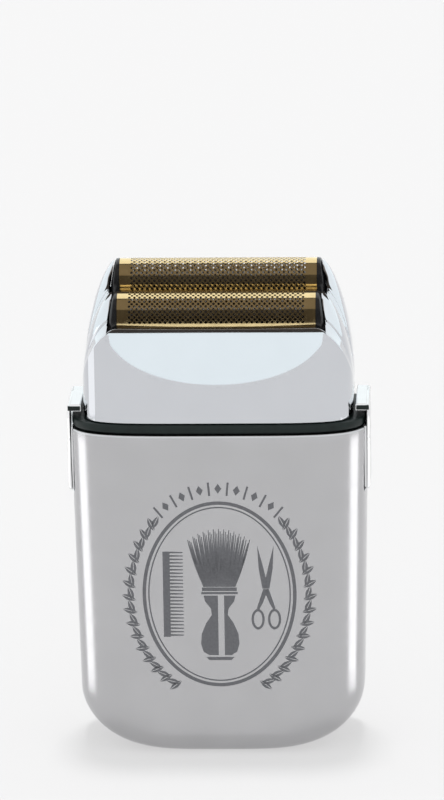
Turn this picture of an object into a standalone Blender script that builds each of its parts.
"""Compact twin-foil shaver standing upright on its base.

+Z is up, the front faces -Y and the origin is the centre of the base. The constants are in
millimetres and the meshes are written in metres. Pieces are modelled at rest, with the head
on, and every moving piece hangs from an empty on its joint's axis.
"""

import math

import bmesh
import bpy
from mathutils import Matrix, Vector

MM = 0.001
GAP = 0.3
RING_POINTS = 40

# Body shell
BODY_HEIGHT = 71.0
BODY_HALF_DEPTH = 15.0
BODY_SIDE_AT_BASE = 30.2
BODY_SIDE_FLARE = 0.02
BODY_POWER = 4.2
BASE_CORNER_WIDTH = 17.0
BASE_CORNER_HEIGHT = 13.0
BASE_EDGE_RADIUS = 4.5
WALL = 1.5
FLOOR = 2.5

# Gasket and the platform under the head
GASKET_TOP = 73.1
GASKET_HALF = (31.3, 14.8)
GASKET_HOLE_HALF = (28.0, 11.8)
PLATFORM_HALF = (27.0, 11.3)
PLATFORM_FLANGE_HALF = (29.3, 12.9)
PLATFORM_BOTTOM = 69.2
PLATFORM_STEP = 70.9
PLATFORM_TOP = 74.6

# Head cover
HEAD_BOTTOM = GASKET_TOP + GAP
HEAD_HALF_WIDTH = 29.1
HEAD_HALF_DEPTH = 13.7
HEAD_POWER = 5.0
HEAD_SHOULDER_START = 21.0
HEAD_SHOULDER_POWER = 1.75
HEAD_SHOULDER_FOOT = 80.0
HUMP_RADIUS = 4.9
RIB_TOP = 99.0
SCOOP_HALF_WIDTH = 23.0
SCOOP_HEIGHT = 12.4
SCOOP_DEPTH = 2.2

# Foils: an arch with straight legs, one low in front and one high behind
FOIL_RADIUS = 4.5
FOIL_THICKNESS = 0.35
FOIL_HALF_LENGTH = 21.0
FOIL_LEG = 3.35
FOIL_EXPOSED_LEG = 1.85
FOIL_FLOAT = 1.2
FOIL_CENTRES = {"front": (-5.8, 95.6), "rear": (5.8, 99.95)}
CAP_INNER = 21.3
CAP_OUTER = 22.7
FRAME_DEPTH = 5.2
TAB_HALF = 5.5
TAB_THICKNESS = 0.8
TAB_START = 19.4

# Cutters
CUTTER_RADIUS = 3.85
CUTTER_HALF_LENGTH = 18.7
CUTTER_BLOCK_HALF = 3.0
CUTTER_DEPTH = 3.4
CUTTER_SLOTS = 8
POCKET_TOP = -0.6

# Drive train
MOTOR_Y = -3.0
MOTOR_RADIUS = 9.5
MOTOR_BOTTOM = 33.5
MOTOR_TOP = 60.0
SHAFT_RADIUS = 1.0
DRIVE_DECK = (61.0, 62.5)
CAM = (62.9, 64.9)
CAM_RADIUS = 3.6
PIN_OFFSET = 0.7
PIN_RADIUS = 0.8
PIN_TOP = 67.6
FORK = (65.6, 68.6)
FORK_Y = (-11.6, 5.6)
ROD_Z = 67.0
ROD_Y = {"front": -9.8, "rear": 3.8}
ROD_RADIUS = 1.0
ROD_HALF_LENGTH = 14.0
YOKE = (78.0, 80.5)
POST_RADIUS = 1.4
POST_BELOW_CENTRE = 2.2
BOSS_RADIUS = 2.9
FRONT_BOSS_TOP = 82.0
SPRING_RADIUS = 2.3
SPRING_WIRE = 0.25
SPRING_TURNS = 5

# Release buttons, which rock about a pin
BUTTON_HALF = 7.5
BUTTON_FACE = 32.1
BUTTON_BACK = 31.0
BUTTON_BOTTOM = 57.0
BUTTON_TOP = 75.9
BUTTON_NECK = 31.62
CLAW_INNER = 29.4
CLAW_BOTTOM = 74.4
PIVOT_X = 29.0
PIVOT_Z = 66.0
RELEASE_PIN_RADIUS = 0.5

# Inside the body
BATTERY_RADIUS = 7.0
BATTERY_HALF_LENGTH = 24.0
BATTERY_YZ = (-2.0, 20.0)
CHASSIS_Y = (7.3, 8.6)
BOARD_Y = (9.2, 10.3)
BOARD_HALF_WIDTH = 15.0
BOARD_Z = (24.0, 55.0)
SWITCH_Z = 45.0
POWER_RADIUS = 5.2
POWER_FACE = 14.9
LED_Z = 31.0
SOCKET_HALF = (4.5, 1.6)
PLATFORM_SCREWS = [(-21.0, -5.5), (21.0, -5.5), (-21.0, 5.0), (21.0, 5.0)]
BASE_SCREWS = {"front": (-8.5, -4.8), "rear": (8.5, 4.8)}

# Finishes: base colour, roughness, metallic
FINISHES = {
    "satin_silver": ((0.62, 0.62, 0.63), 0.34, 1.0),
    "polished_chrome": ((0.80, 0.81, 0.83), 0.08, 1.0),
    "gold_foil": ((0.83, 0.60, 0.22), 0.22, 1.0),
    "black_plastic": ((0.025, 0.025, 0.027), 0.32, 0.0),
    "dark_plastic": ((0.07, 0.07, 0.075), 0.5, 0.0),
    "white_plastic": ((0.75, 0.75, 0.72), 0.45, 0.0),
    "rubber": ((0.035, 0.05, 0.045), 0.6, 0.0),
    "steel": ((0.66, 0.66, 0.68), 0.22, 1.0),
    "cell_wrap": ((0.06, 0.22, 0.38), 0.35, 0.0),
    "board_green": ((0.03, 0.17, 0.08), 0.4, 0.0),
    "brass": ((0.78, 0.60, 0.28), 0.3, 1.0),
    "lens": ((0.85, 0.88, 0.92), 0.12, 0.0),
}


def clear_scene():
    for obj in list(bpy.data.objects):
        bpy.data.objects.remove(obj, do_unlink=True)


def finish_material(finish):
    found = bpy.data.materials.get(finish)
    if found:
        return found
    colour, roughness, metallic = FINISHES[finish]
    made = bpy.data.materials.new(finish)
    made.use_nodes = True
    shader = made.node_tree.nodes["Principled BSDF"]
    shader.inputs["Base Color"].default_value = (*colour, 1.0)
    shader.inputs["Roughness"].default_value = roughness
    shader.inputs["Metallic"].default_value = metallic
    return made


def empty(name, point, parent=None):
    """An empty at a world point, on the axis of the joint that it stands for."""
    obj = bpy.data.objects.new(name, None)
    bpy.context.scene.collection.objects.link(obj)
    obj.empty_display_size = 5 * MM
    attach(obj, point, parent)
    return obj


def attach(obj, point, parent):
    """Place an object at a world point, under an empty that is itself never turned or scaled."""
    place = Vector(point) * MM
    obj["origin"] = tuple(place)
    obj.parent = parent
    obj.location = place - Vector(parent["origin"]) if parent else place


def build(name, bm, finish=None, origin=(0, 0, 0), parent=None, smooth=35.0):
    """Turn a bmesh in world millimetres into an object. Without a finish it is a hidden helper."""
    bmesh.ops.recalc_face_normals(bm, faces=bm.faces)
    bmesh.ops.transform(bm, matrix=Matrix.Translation(-Vector(origin)), verts=bm.verts)
    bmesh.ops.scale(bm, vec=(MM, MM, MM), verts=bm.verts)
    mesh = bpy.data.meshes.new(name)
    bm.to_mesh(mesh)
    bm.free()
    obj = bpy.data.objects.new(name, mesh)
    bpy.context.scene.collection.objects.link(obj)
    attach(obj, origin, parent)
    if finish:
        mesh.shade_smooth()
        mesh.set_sharp_from_angle(angle=math.radians(smooth))
        mesh.materials.append(finish_material(finish))
    else:
        obj.hide_render = True
        obj.display_type = "WIRE"
    return obj


def boolean(obj, operation, helper):
    modifier = obj.modifiers.new(f"{operation.title()} {helper.name}", "BOOLEAN")
    modifier.operation = operation
    modifier.solver = "EXACT"
    modifier.object = helper


def cut(obj, *helpers):
    for helper in helpers:
        boolean(obj, "DIFFERENCE", helper)


def join(obj, *helpers):
    for helper in helpers:
        boolean(obj, "UNION", helper)


def loft(rings):
    """A closed skin through rings of equally many points, capped at both ends."""
    bm = bmesh.new()
    rows = [[bm.verts.new(point) for point in ring] for ring in rings]
    count = len(rows[0])
    for low, high in zip(rows, rows[1:]):
        for i in range(count):
            j = (i + 1) % count
            bm.faces.new((low[i], low[j], high[j], high[i]))
    bm.faces.new(rows[0][::-1])
    bm.faces.new(rows[-1])
    return bm


def rounded_ring(half_x, half_y, z, power=BODY_POWER, centre_y=0.0):
    """A superellipse at height z: flat faces that turn smoothly into round corners."""
    points = []
    for i in range(RING_POINTS):
        turn = 2 * math.pi * i / RING_POINTS
        x, y = math.cos(turn), math.sin(turn)
        across = math.copysign(abs(x) ** (2 / power), x)
        deep = math.copysign(abs(y) ** (2 / power), y)
        points.append((half_x * across, centre_y + half_y * deep, z))
    return points


def block(x, y, z):
    """A box between three (low, high) pairs."""
    bm = bmesh.new()
    bmesh.ops.create_cube(bm, size=1.0)
    size = Vector((x[1] - x[0], y[1] - y[0], z[1] - z[0]))
    middle = Vector((x[0] + x[1], y[0] + y[1], z[0] + z[1])) / 2
    bmesh.ops.scale(bm, vec=size, verts=bm.verts)
    bmesh.ops.translate(bm, vec=middle, verts=bm.verts)
    return bm


def prism(outline, low, high, axis):
    """An outline in the plane across an axis, extruded along it: (y, z) along X or (x, z) along Y."""
    place = {
        "X": lambda point, at: (at, point[0], point[1]),
        "Y": lambda point, at: (point[0], at, point[1]),
    }[axis]
    return loft([[place(point, at) for point in outline] for at in (low, high)])


def turned(levels, base=(0, 0, 0), direction="Z", sides=20):
    """A turned piece: (height, radius) pairs along an axis that starts at the base point."""
    rings = []
    for height, radius in levels:
        ring = []
        for i in range(sides):
            turn = 2 * math.pi * i / sides
            a, b = radius * math.cos(turn), radius * math.sin(turn)
            offset = {"X": (height, a, b), "Y": (a, height, b), "Z": (a, b, height)}[direction]
            ring.append(tuple(start + move for start, move in zip(base, offset)))
        rings.append(ring)
    return loft(rings)


def coil(centre, low, high, radius, wire, turns, direction="Z"):
    """A closed spring wire wound between two heights on an axis."""
    steps_a_turn, sides = 8, 4
    steps = steps_a_turn * turns
    rings = []
    for i in range(steps + 1):
        turn = 2 * math.pi * i / steps_a_turn
        height = low + wire + (high - low - 2 * wire) * i / steps
        ring = []
        for k in range(sides):
            around = 2 * math.pi * k / sides
            out = radius + wire * math.cos(around)
            along = height + wire * math.sin(around)
            a, b = out * math.cos(turn), out * math.sin(turn)
            offset = {"X": (along, a, b), "Z": (a, b, along)}[direction]
            ring.append(tuple(start + move for start, move in zip(centre, offset)))
        rings.append(ring)
    return loft(rings)


def arch(centre_y, centre_z, radius, segments):
    """Points over a half circle, from its -Y side across the top to its +Y side."""
    return [
        (
            centre_y - radius * math.cos(math.pi * i / segments),
            centre_z + radius * math.sin(math.pi * i / segments),
        )
        for i in range(segments + 1)
    ]


# ---- Body ----------------------------------------------------------------------------------


def rounding(size, height, z):
    """How far an elliptical bottom corner draws in at height z."""
    rise = min(1.0, max(0.0, (height - z) / height))
    return size * (1 - math.sqrt(1 - rise * rise))


def body_half_width(z):
    side = BODY_SIDE_AT_BASE + BODY_SIDE_FLARE * z
    return side - rounding(BASE_CORNER_WIDTH, BASE_CORNER_HEIGHT, z)


def body_half_depth(z):
    return BODY_HALF_DEPTH - rounding(BASE_EDGE_RADIUS, BASE_EDGE_RADIUS, z)


def body_skin():
    levels = [0, 0.3, 0.9, 1.8, 3.0, 4.5, 6.5, 9.0, 13.0, 24.0, 48.0, BODY_HEIGHT - 0.4]
    rings = [rounded_ring(body_half_width(z), body_half_depth(z), z) for z in levels]
    top = BODY_HEIGHT
    rings.append(rounded_ring(body_half_width(top) - 0.3, body_half_depth(top) - 0.3, top))
    return loft(rings)


def body_hollow():
    rings = []
    for z in [FLOOR, 4.5, 6.5, 9.0, 13.0, 24.0, 48.0, BODY_HEIGHT + 1]:
        half_x = body_half_width(z - 1) - WALL
        rings.append(rounded_ring(half_x, body_half_depth(z - 1) - WALL, z))
    return loft(rings)


def make_shells():
    hollow = build("shell_hollow", body_hollow())
    socket = build("socket_slot", socket_cutter())
    windows = []
    for side, sign in (("left", -1), ("right", 1)):
        x = sorted((sign * 28.0, sign * 34.0))
        y, z = (-BUTTON_HALF - GAP, BUTTON_HALF + GAP), (BUTTON_BOTTOM - 0.4, BODY_HEIGHT + 1)
        windows.append(build(f"window_{side}", block(x, y, z)))
    halves = {"front": (-20.0, -GAP / 2), "rear": (GAP / 2, 20.0)}
    for name, y in halves.items():
        shell = build(f"{name}_shell", body_skin(), "satin_silver")
        half = build(f"{name}_half", block((-40, 40), y, (-5, 80)))
        boolean(shell, "INTERSECT", half)
        cut(shell, hollow, socket, *windows)
        x, y = BASE_SCREWS[name]
        levels = [(-1, 2.2), (1.5, 2.2), (1.5, 1.15), (4, 1.15)]
        cut(shell, build(f"{name}_base_hole", turned(levels, (x, y, 0), sides=14)))
        if name == "rear":
            cut(shell, *rear_openings())


def socket_cutter():
    half_x, half_y = SOCKET_HALF
    rings = [rounded_ring(half_x + GAP, half_y + GAP, z, power=3.0) for z in (-1.0, FLOOR + 2)]
    return loft(rings)


def rear_openings():
    """Through the rear wall: the power button with its ring's seat, and the light."""
    y = BODY_HALF_DEPTH
    levels = [(-5, POWER_RADIUS + 0.4), (-0.8, POWER_RADIUS + 0.4), (-0.8, 7.6), (2, 7.6)]
    power = build("power_hole", turned(levels, (0, y, SWITCH_Z), "Y", 28))
    light = build("light_hole", turned([(-5, 1.8), (2, 1.8)], (0, y, LED_Z), "Y", 16))
    return power, light


def make_gasket():
    outer = loft([rounded_ring(*GASKET_HALF, z) for z in (BODY_HEIGHT + GAP, GASKET_TOP)])
    gasket = build("gasket", outer, "rubber")
    low, high = BODY_HEIGHT - 1, GASKET_TOP + 1
    cut(gasket, build("gasket_hole", loft([rounded_ring(*GASKET_HOLE_HALF, z) for z in (low, high)])))


def make_platform():
    """The floor of the hair chamber, with the slot that the drive stem comes up through."""
    rings = [
        rounded_ring(*PLATFORM_FLANGE_HALF, PLATFORM_BOTTOM),
        rounded_ring(*PLATFORM_FLANGE_HALF, PLATFORM_STEP),
        rounded_ring(*PLATFORM_HALF, PLATFORM_STEP),
        rounded_ring(*PLATFORM_HALF, PLATFORM_TOP),
    ]
    platform = build("platform", loft(rings), "dark_plastic")
    stem = block((-4.4, 4.4), (MOTOR_Y - 4.4, MOTOR_Y + 4.4), (60, 80))
    cut(platform, build("stem_opening", stem))
    for i, (x, y) in enumerate(PLATFORM_SCREWS):
        levels = [(60, 1.25), (73.4, 1.25), (73.4, 2.3), (80, 2.3)]
        cut(platform, build(f"platform_hole_{i}", turned(levels, (x, y, 0), sides=12)))
        shape = turned([(61.6, 0.9), (73.7, 0.9), (73.7, 1.9), (74.5, 1.9)], (x, y, 0), sides=12)
        build(f"platform_screw_{i + 1}", shape, "steel")
    rings = [rounded_ring(6.5, 6.5, z, 6.0, MOTOR_Y) for z in (PLATFORM_TOP + GAP, 76.0)]
    rings.append(rounded_ring(5.6, 5.6, 77.0, 6.0, MOTOR_Y))
    seal = build("stem_seal", loft(rings), "rubber")
    hole = loft([rounded_ring(4.2, 4.2, z, 6.0, MOTOR_Y) for z in (74, 78)])
    cut(seal, build("seal_hole", hole))


# ---- Head ----------------------------------------------------------------------------------


def head_half_depth(x):
    reach = min(1.0, abs(x) / HEAD_HALF_WIDTH)
    return HEAD_HALF_DEPTH * (1 - reach**HEAD_POWER) ** (1 / HEAD_POWER)


def shoulder(x):
    """The share of the head's top height that is left at x: 1 over the foils, 0 at the end."""
    reach = (abs(x) - HEAD_SHOULDER_START) / (HEAD_HALF_WIDTH - HEAD_SHOULDER_START)
    if reach <= 0:
        return 1.0
    return (1 - reach**HEAD_SHOULDER_POWER) ** (1 / HEAD_SHOULDER_POWER)


def deck_height(name):
    return FOIL_CENTRES[name][1] - FOIL_EXPOSED_LEG


def head_section(x, humps):
    """The head's outline across X: two steps, and over the shoulders a hump behind each foil's end."""
    front_y, front_z = FOIL_CENTRES["front"]
    rear_y, rear_z = FOIL_CENTRES["rear"]
    front_deck, rear_deck = deck_height("front"), deck_height("rear")
    front_hump = arch(front_y, front_z, HUMP_RADIUS, 10)
    rear_hump = arch(rear_y, rear_z, HUMP_RADIUS, 10)
    ridge = [(-0.8, RIB_TOP - 1.0), (0.8, RIB_TOP + 0.6)]
    if not humps:
        front_hump = [(front_y + (y - front_y) * 0.8, front_deck) for y, z in front_hump]
        rear_hump = [(rear_y + (y - rear_y) * 0.8, rear_deck) for y, z in rear_hump]
        ridge = [(-1.6, RIB_TOP), (1.6, RIB_TOP)]
    edge = HEAD_HALF_DEPTH
    outline = [(-edge, HEAD_BOTTOM), (-edge, front_deck - 1.6), (-edge + 0.5, front_deck - 0.5)]
    outline += [(-edge + 1.6, front_deck)] + front_hump
    outline += ridge + rear_hump
    outline += [(edge - 1.6, rear_deck), (edge - 0.5, rear_deck - 0.5), (edge, rear_deck - 1.6)]
    outline += [(edge, HEAD_BOTTOM)]
    narrow = head_half_depth(x) / HEAD_HALF_DEPTH
    keep = shoulder(x)
    ring = []
    for y, z in outline:
        if z > HEAD_SHOULDER_FOOT:
            z = HEAD_SHOULDER_FOOT + (z - HEAD_SHOULDER_FOOT) * keep
        ring.append((x, y * narrow, z))
    return ring


def head_cavity():
    """Cutters that open the head from below and let each foil through."""
    half = (HEAD_HALF_WIDTH - WALL, HEAD_HALF_DEPTH - WALL)
    inner = [rounded_ring(*half, z, HEAD_POWER) for z in (70, 82)]
    cutters = [build("head_hollow", loft(inner))]
    cutters.append(build("head_chamber", block((-24.4, 24.4), (-10.35, 11.7), (81.5, 89.5))))
    for name, (y, z) in FOIL_CENTRES.items():
        slot = block((-23.1, 23.1), (y - 4.8, y + 4.8), (88, 110))
        cutters.append(build(f"{name}_slot", slot))
        deep = (-11.6, 0.0) if name == "front" else (0.0, 11.6)
        top = z - FRAME_DEPTH + 0.2 + TAB_THICKNESS + GAP
        for side, sign in (("left", -1), ("right", 1)):
            pocket = block(sorted((sign * 19.0, sign * 23.6)), deep, (87.5, top))
            cutters.append(build(f"{name}_tab_pocket_{side}", pocket))
    return cutters


def scoop_cutter():
    """A shallow bowl in the head's front face, under the front foil."""
    bm = bmesh.new()
    bmesh.ops.create_uvsphere(bm, u_segments=40, v_segments=14, radius=1.0)
    bmesh.ops.rotate(bm, matrix=Matrix.Rotation(math.pi / 2, 3, "X"), verts=bm.verts)
    bmesh.ops.scale(bm, vec=(SCOOP_HALF_WIDTH, SCOOP_DEPTH, SCOOP_HEIGHT), verts=bm.verts)
    centre = (0, -HEAD_HALF_DEPTH, deck_height("front") - 0.5)
    bmesh.ops.translate(bm, vec=centre, verts=bm.verts)
    return bm


def make_head(joint):
    step = 23.0
    plain = [0.0, 10.0, 18.0, 21.0, 22.0, step]
    humped = [step + 0.06, 24.4, 25.6, 26.6, 27.4, 28.1, 28.6, 28.9, 29.04]
    right = [(x, False) for x in plain] + [(x, True) for x in humped]
    stations = [(-x, humps) for x, humps in right[:0:-1]] + right
    cover = build(
        "head_cover",
        loft([head_section(x, humps) for x, humps in stations]),
        "polished_chrome",
        joint_point(joint),
        joint,
        smooth=50.0,
    )
    cut(cover, *head_cavity(), build("scoop", scoop_cutter()))
    for side, sign in (("left", -1), ("right", 1)):
        x = sorted((sign * 20.9, sign * 23.3))
        shape = prism(retainer_outline(), *x, "X")
        build(f"foil_retainer_{side}", shape, "dark_plastic", joint_point(joint), joint)


def retainer_outline():
    """A stepped shelf that the foil frames can't fall past."""
    front_top = FOIL_CENTRES["front"][1] - FRAME_DEPTH - FOIL_FLOAT - GAP
    rear_top = FOIL_CENTRES["rear"][1] - FRAME_DEPTH - FOIL_FLOAT - GAP
    return [
        (-10.2, front_top),
        (-10.2, front_top - 2),
        (1.6, front_top - 2),
        (1.6, rear_top - 2),
        (10.2, rear_top - 2),
        (10.2, rear_top),
        (0.4, rear_top),
        (0.4, front_top),
    ]


def joint_point(joint):
    return tuple(Vector(joint["origin"]) / MM)


def make_foil(name, joint):
    """A thin arched foil and the black frame whose D-shaped ends close it."""
    y, z = FOIL_CENTRES[name]
    origin = joint_point(joint)
    outer = arch(y, z, FOIL_RADIUS, 14)
    inner = arch(y, z, FOIL_RADIUS - FOIL_THICKNESS, 14)[::-1]
    foot = z - FOIL_LEG
    outline = [(outer[0][0], foot)] + outer + [(outer[-1][0], foot)]
    outline += [(inner[0][0], foot)] + inner + [(inner[-1][0], foot)]
    skin = prism(outline, -FOIL_HALF_LENGTH, FOIL_HALF_LENGTH, "X")
    build(f"{name}_foil", skin, "gold_foil", origin, joint)

    low, high = z - FRAME_DEPTH, z - FOIL_LEG - GAP
    rails = block((-CAP_OUTER, CAP_OUTER), (y - FOIL_RADIUS, y + FOIL_RADIUS), (low, high))
    frame = build(f"{name}_foil_frame", rails, "black_plastic", origin, joint)
    for side, sign in (("left", -1), ("right", 1)):
        cap = [(y - FOIL_RADIUS, high - 0.5)] + arch(y, z, FOIL_RADIUS, 14)
        cap.append((y + FOIL_RADIUS, high - 0.5))
        x = sorted((sign * CAP_INNER, sign * CAP_OUTER))
        join(frame, build(f"{name}_cap_{side}", prism(cap, *x, "X")))
        x = sorted((sign * TAB_START, sign * (CAP_OUTER - 0.4)))
        tab = block(x, (y - TAB_HALF, y + TAB_HALF), (low + 0.2, low + 0.2 + TAB_THICKNESS))
        join(frame, build(f"{name}_tab_{side}", tab))
    bore = FOIL_RADIUS - FOIL_THICKNESS
    opening = block((-CAP_INNER + 0.4, CAP_INNER - 0.4), (y - bore, y + bore), (low - 1, high + 1))
    cut(frame, build(f"{name}_frame_opening", opening))


def cutter_section(x, y, z, tall):
    """Across a cutter: a narrow block under a full arch, or under a flat land between two blades."""
    block_half = CUTTER_BLOCK_HALF
    top = arch(y, z, CUTTER_RADIUS, 8)
    if not tall:
        land = z + 0.3
        top = [(y + (point_y - y) * 0.7, land) for point_y, point_z in top]
    outline = [(y - block_half, z - CUTTER_DEPTH), (y - block_half, z - 1.0)] + top
    outline += [(y + block_half, z - 1.0), (y + block_half, z - CUTTER_DEPTH)]
    return [(x, point_y, point_z) for point_y, point_z in outline]


def make_cutter(name, joint):
    y, z = FOIL_CENTRES[name]
    pitch = 2 * CUTTER_HALF_LENGTH / (2 * CUTTER_SLOTS + 1)
    wall = 0.06
    rings = []
    for i in range(2 * CUTTER_SLOTS + 1):
        tall = i % 2 == 0
        start = -CUTTER_HALF_LENGTH + i * pitch
        rings.append(cutter_section(start + (0 if i == 0 else wall), y, z, tall))
        rings.append(cutter_section(start + pitch, y, z, tall))
    cutter = build(f"{name}_cutter", loft(rings), "steel", joint_point(joint), joint)
    levels = [(-CUTTER_DEPTH - 1, POST_RADIUS + 0.35), (POCKET_TOP, POST_RADIUS + 0.35)]
    cut(cutter, build(f"{name}_pocket", turned(levels, (0, y, z), sides=14)))


# ---- Drive ---------------------------------------------------------------------------------


def boss_top(name):
    return FRONT_BOSS_TOP + FOIL_CENTRES[name][1] - FOIL_CENTRES["front"][1]


def make_yoke(joint):
    """The part that swings: a fork on the eccentric pin, a stem, and a yoke with a post to each cutter."""
    origin = joint_point(joint)
    yoke = build("drive_yoke", block((-5, 5), FORK_Y, FORK), "white_plastic", origin, joint)
    stem = block((-3, 3), (MOTOR_Y - 3, MOTOR_Y + 3), (FORK[1] - 0.5, YOKE[0] + 0.5))
    plate = block((-4.8, 4.8), (-8.6, 8.6), YOKE)
    join(yoke, build("yoke_stem", stem), build("yoke_plate", plate))
    for name, (y, z) in FOIL_CENTRES.items():
        top = boss_top(name)
        levels = [(YOKE[1] - 0.7, BOSS_RADIUS), (top, BOSS_RADIUS), (top, POST_RADIUS)]
        levels.append((z - POST_BELOW_CENTRE, POST_RADIUS))
        join(yoke, build(f"{name}_post", turned(levels, (0, y, 0), sides=14)))
        rod = turned([(-8, ROD_RADIUS + 0.3), (8, ROD_RADIUS + 0.3)], (0, ROD_Y[name], ROD_Z), "X", 14)
        cut(yoke, build(f"{name}_rod_hole", rod))
        foot = z - CUTTER_DEPTH - GAP
        spring = coil((0, y, 0), top + GAP, foot, SPRING_RADIUS, SPRING_WIRE, SPRING_TURNS)
        build(f"{name}_cutter_spring", spring, "steel", origin, joint)
    slot = block((-2.4, 2.4), (MOTOR_Y - 2.4, MOTOR_Y + 2.4), (FORK[0] - 1, FORK[1] - 0.6))
    cut(yoke, build("fork_slot", slot))


def make_rotor(joint):
    origin = joint_point(joint)
    base = (0, MOTOR_Y, 0)
    shaft = turned([(54, SHAFT_RADIUS), (CAM[1] - 0.7, SHAFT_RADIUS)], base, sides=14)
    build("motor_shaft", shaft, "steel", origin, joint)
    disc = turned([(CAM[0], CAM_RADIUS), (CAM[1], CAM_RADIUS)], base)
    cam = build("eccentric_cam", disc, "brass", origin, joint)
    levels = [(CAM[1] - 0.3, PIN_RADIUS), (PIN_TOP, PIN_RADIUS)]
    join(cam, build("cam_pin", turned(levels, (PIN_OFFSET, MOTOR_Y, 0), sides=14)))
    levels = [(CAM[0] - 1, SHAFT_RADIUS + GAP), (CAM[1] - 0.4, SHAFT_RADIUS + GAP)]
    cut(cam, build("cam_bore", turned(levels, base, sides=14)))


def make_motor():
    base = (0, MOTOR_Y, 0)
    levels = [(MOTOR_BOTTOM, MOTOR_RADIUS), (MOTOR_TOP - 0.6, MOTOR_RADIUS)]
    levels += [(MOTOR_TOP, MOTOR_RADIUS - 0.6), (MOTOR_TOP, 3.0), (MOTOR_TOP + 0.6, 3.0)]
    can = build("motor_can", turned(levels, base, sides=32), "steel")
    bore = turned([(53, SHAFT_RADIUS + GAP), (62, SHAFT_RADIUS + GAP)], base, sides=14)
    cut(can, build("motor_bore", bore))
    cap = turned([(30.8, 7.5), (31.2, 9.0), (MOTOR_BOTTOM - GAP, 9.0)], base, sides=28)
    build("motor_end_cap", cap, "white_plastic")
    for side, sign in (("left", -1), ("right", 1)):
        x = sign * 6.0
        hole = turned([(57, 1.0), (61, 1.0)], (x, MOTOR_Y, 0), sides=10)
        cut(can, build(f"motor_thread_{side}", hole))
        screw = turned([(57.4, 0.7), (62.8, 0.7), (62.8, 1.5), (63.5, 1.5)], (x, MOTOR_Y, 0), sides=12)
        build(f"motor_screw_{side}", screw, "steel")


def make_drive_deck():
    """The plate over the motor, with lugs for the guide rods and release pins and the platform's posts."""
    deck = build("drive_deck", block((-24, 24), (-11.5, 6.9), DRIVE_DECK), "dark_plastic")
    join(deck, build("deck_wings", block((-29.2, 29.2), (-5.8, 5.8), DRIVE_DECK)))
    for side, sign in (("left", -1), ("right", 1)):
        x = sorted((sign * 12.2, sign * 14.8))
        join(deck, build(f"rod_lug_{side}", block(x, FORK_Y, (DRIVE_DECK[0] + 0.4, 68.9))))
        x = sorted((sign * 27.6, sign * 29.0))
        for end, y in (("front", (-5.6, -3.3)), ("rear", (3.3, 5.6))):
            lug = block(x, y, (DRIVE_DECK[0] + 0.4, 68.2))
            join(deck, build(f"pin_lug_{side}_{end}", lug))
        radius = RELEASE_PIN_RADIUS + GAP
        hole = turned([(-9, radius), (9, radius)], (sign * PIVOT_X, 0, PIVOT_Z), "Y", 10)
        cut(deck, build(f"pin_hole_{side}", hole))
        hole = turned([(56, 1.0), (64, 1.0)], (sign * 6.0, MOTOR_Y, 0), sides=10)
        cut(deck, build(f"deck_motor_hole_{side}", hole))
    for i, (x, y) in enumerate(PLATFORM_SCREWS):
        post = turned([(DRIVE_DECK[0] + 0.4, 2.6), (PLATFORM_BOTTOM - GAP, 2.6)], (x, y, 0), sides=12)
        join(deck, build(f"platform_post_{i}", post))
        hole = turned([(61.3, 1.25), (72, 1.25)], (x, y, 0), sides=10)
        cut(deck, build(f"post_hole_{i}", hole))
    for name, y in ROD_Y.items():
        reach, radius = ROD_HALF_LENGTH + GAP, ROD_RADIUS + GAP
        hole = turned([(-reach, radius), (reach, radius)], (0, y, ROD_Z), "X", 14)
        cut(deck, build(f"deck_rod_hole_{name}", hole))
        reach = ROD_HALF_LENGTH
        rod = turned([(-reach, ROD_RADIUS), (reach, ROD_RADIUS)], (0, y, ROD_Z), "X", 14)
        build(f"guide_rod_{name}", rod, "steel")
    shaft_hole = turned([(60, 3.6), (63, 3.6)], (0, MOTOR_Y, 0), sides=20)
    cut(deck, build("deck_shaft_hole", shaft_hole))


# ---- Release and power buttons ---------------------------------------------------------------


def button_outline(sign):
    """Front view of a release button: a plate with a rounded foot and a claw over the gasket."""
    points = [
        (BUTTON_BACK, BUTTON_BOTTOM + 0.3),
        (BUTTON_BACK + 0.5, BUTTON_BOTTOM),
        (BUTTON_FACE - 0.5, BUTTON_BOTTOM + 0.3),
        (BUTTON_FACE - 0.1, BUTTON_BOTTOM + 0.8),
        (BUTTON_FACE, BUTTON_BOTTOM + 1.5),
        (BUTTON_FACE, BUTTON_TOP - 0.6),
        (BUTTON_FACE - 0.2, BUTTON_TOP - 0.15),
        (BUTTON_FACE - 0.6, BUTTON_TOP),
        (CLAW_INNER, BUTTON_TOP),
        (CLAW_INNER, CLAW_BOTTOM),
        (BUTTON_NECK, CLAW_BOTTOM),
        (BUTTON_NECK, PLATFORM_STEP),
        (BUTTON_BACK, PLATFORM_STEP),
    ]
    return [(sign * x, z) for x, z in points]


def make_release(side, sign, joint):
    origin = joint_point(joint)
    plate = prism(button_outline(sign), -BUTTON_HALF, BUTTON_HALF, "Y")
    button = build(f"release_button_{side}", plate, "satin_silver", origin, joint)
    x = sorted((sign * (PIVOT_X - 1.6), sign * (BUTTON_BACK + 0.4)))
    join(button, build(f"button_lug_{side}", block(x, (-2.5, 2.5), (PIVOT_Z - 1.6, PIVOT_Z + 1.6))))
    hole = turned([(-4, 0.85), (4, 0.85)], (sign * PIVOT_X, 0, PIVOT_Z), "Y", 12)
    cut(button, build(f"button_hole_{side}", hole))
    radius = RELEASE_PIN_RADIUS
    pin = turned([(-6, radius), (6, radius)], (sign * PIVOT_X, 0, PIVOT_Z), "Y", 12)
    build(f"release_pin_{side}", pin, "steel")
    low, high = sorted((sign * 24.3, sign * 30.0))
    spring = coil((0, 0, 59.3), low, high, 1.2, 0.2, 4, "X")
    build(f"release_spring_{side}", spring, "steel")


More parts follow.
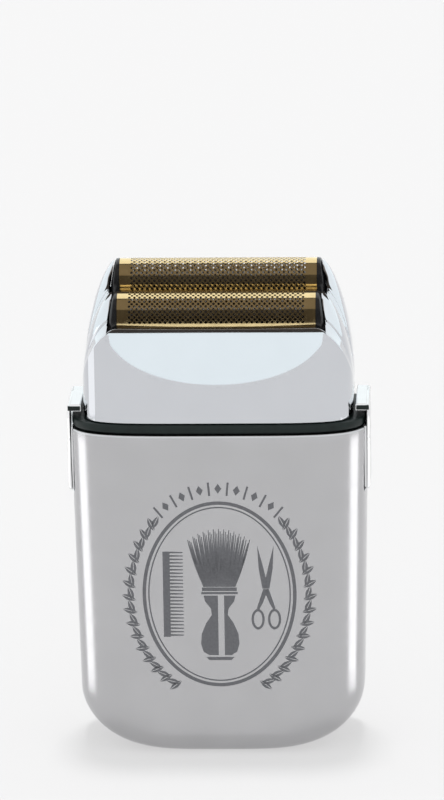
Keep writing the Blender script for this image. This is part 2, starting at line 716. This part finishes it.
def make_power_button(joint):
    origin = joint_point(joint)
    levels = [(12.3, 6.6), (13.1, 6.6), (13.1, POWER_RADIUS), (14.5, POWER_RADIUS)]
    levels.append((POWER_FACE, POWER_RADIUS - 0.5))
    cap = turned(levels, (0, 0, SWITCH_Z), "Y", 28)
    build("power_button", cap, "polished_chrome", origin, joint)
    ring = turned([(14.5, 7.3), (14.9, 7.3)], (0, 0, SWITCH_Z), "Y", 28)
    ring = build("button_ring", ring, "polished_chrome")
    cut(ring, build("ring_hole", turned([(13, 5.9), (16, 5.9)], (0, 0, SWITCH_Z), "Y", 28)))
    lens = turned([(12.4, 2.4), (13.1, 2.4), (13.1, 1.5), (14.7, 1.5), (14.9, 1.1)], (0, 0, LED_Z), "Y", 16)
    build("light_lens", lens, "lens")


# ---- Inside the body -------------------------------------------------------------------------


def make_chassis():
    chassis = build("chassis", block((-24, 24), CHASSIS_Y, (9.5, 60.7)), "dark_plastic")
    foot = block((-12, 12), (-8, CHASSIS_Y[1] - 0.2), (2.9, 5.9))
    web = block((-11.5, 11.5), (CHASSIS_Y[0] + 0.1, CHASSIS_Y[1] - 0.1), (3.5, 10.5))
    join(chassis, build("chassis_foot", foot), build("chassis_web", web))
    battery_y, battery_z = BATTERY_YZ
    for side, sign in (("left", -1), ("right", 1)):
        x = sorted((sign * 12.5, sign * 23.5))
        join(chassis, build(f"shelf_{side}", block(x, (-7, CHASSIS_Y[0] + 0.4), (57.7, 60.5))))
        x = sorted((sign * 14, sign * 16))
        join(chassis, build(f"cradle_{side}", block(x, (-10, CHASSIS_Y[0] + 0.4), (10, battery_z - 1))))
    reach, radius = BATTERY_HALF_LENGTH + 3, BATTERY_RADIUS + GAP
    well = turned([(-reach, radius), (reach, radius)], (0, battery_y, battery_z), "X", 28)
    cut(chassis, build("battery_well", well))
    half_x, half_y = SOCKET_HALF
    well = block((-half_x - GAP, half_x + GAP), (-half_y - GAP, half_y + GAP), (2, 7))
    cut(chassis, build("socket_well", well))
    for name, (x, y) in BASE_SCREWS.items():
        cut(chassis, build(f"{name}_foot_hole", turned([(2, 1.15), (7, 1.15)], (x, y, 0), sides=12)))
        screw = turned([(0.3, 1.9), (1.2, 1.9), (1.2, 0.85), (6.6, 0.85)], (x, y, 0), sides=12)
        build(f"base_screw_{name}", screw, "steel")


def make_battery():
    y, z = BATTERY_YZ
    reach, radius = BATTERY_HALF_LENGTH, BATTERY_RADIUS
    levels = [(-reach, radius - 0.6), (-reach + 0.6, radius), (reach - 0.9, radius)]
    levels += [(reach - 0.4, radius - 0.5), (reach - 0.4, 2.4), (reach, 2.4)]
    build("battery", turned(levels, (0, y, z), "X", 28), "cell_wrap")
    for side, sign in (("left", -1), ("right", 1)):
        x = sorted((sign * (reach + GAP), sign * (reach + 0.6)))
        build(f"battery_tab_{side}", block(x, (y - 2, y + 2), (z - 3, z + 9)), "steel")


def make_electronics():
    board = block((-BOARD_HALF_WIDTH, BOARD_HALF_WIDTH), BOARD_Y, BOARD_Z)
    build("circuit_board", board, "board_green")
    top = BOARD_Y[1] + GAP
    build("power_switch", block((-3, 3), (top, 11.4), (SWITCH_Z - 3, SWITCH_Z + 3)), "black_plastic")
    build("charge_chip", block((-9, -4), (top, 11.8), (34, 39)), "black_plastic")
    build("light_emitter", block((-1.2, 1.2), (top, 11.6), (LED_Z - 1.2, LED_Z + 1.2)), "lens")
    half_x, half_y = SOCKET_HALF
    rings = [rounded_ring(half_x, half_y, z, power=3.0) for z in (0.4, 8.5)]
    socket = build("charging_socket", loft(rings), "steel")
    rings = [rounded_ring(half_x - 0.5, half_y - 0.5, z, power=3.0) for z in (-1, 7.5)]
    cut(socket, build("socket_mouth", loft(rings)))
    build("socket_tongue", block((-3.0, 3.0), (-0.35, 0.35), (1.4, 7.2)), "black_plastic")


def main():
    clear_scene()
    head_joint = empty("head_joint", (0, 0, HEAD_BOTTOM))
    drive_joint = empty("drive_joint", (0, MOTOR_Y, ROD_Z))
    rotor_joint = empty("rotor_joint", (0, MOTOR_Y, CAM[0]))
    power_joint = empty("power_joint", (0, POWER_FACE, SWITCH_Z))
    make_shells()
    make_gasket()
    make_platform()
    make_head(head_joint)
    for name, (y, z) in FOIL_CENTRES.items():
        make_foil(name, empty(f"{name}_foil_joint", (0, y, z), head_joint))
        make_cutter(name, empty(f"{name}_cutter_joint", (0, y, z), drive_joint))
    make_yoke(drive_joint)
    make_rotor(rotor_joint)
    make_motor()
    make_drive_deck()
    for side, sign in (("left", -1), ("right", 1)):
        make_release(side, sign, empty(f"release_joint_{side}", (sign * PIVOT_X, 0, PIVOT_Z)))
    make_power_button(power_joint)
    make_chassis()
    make_battery()
    make_electronics()


main()
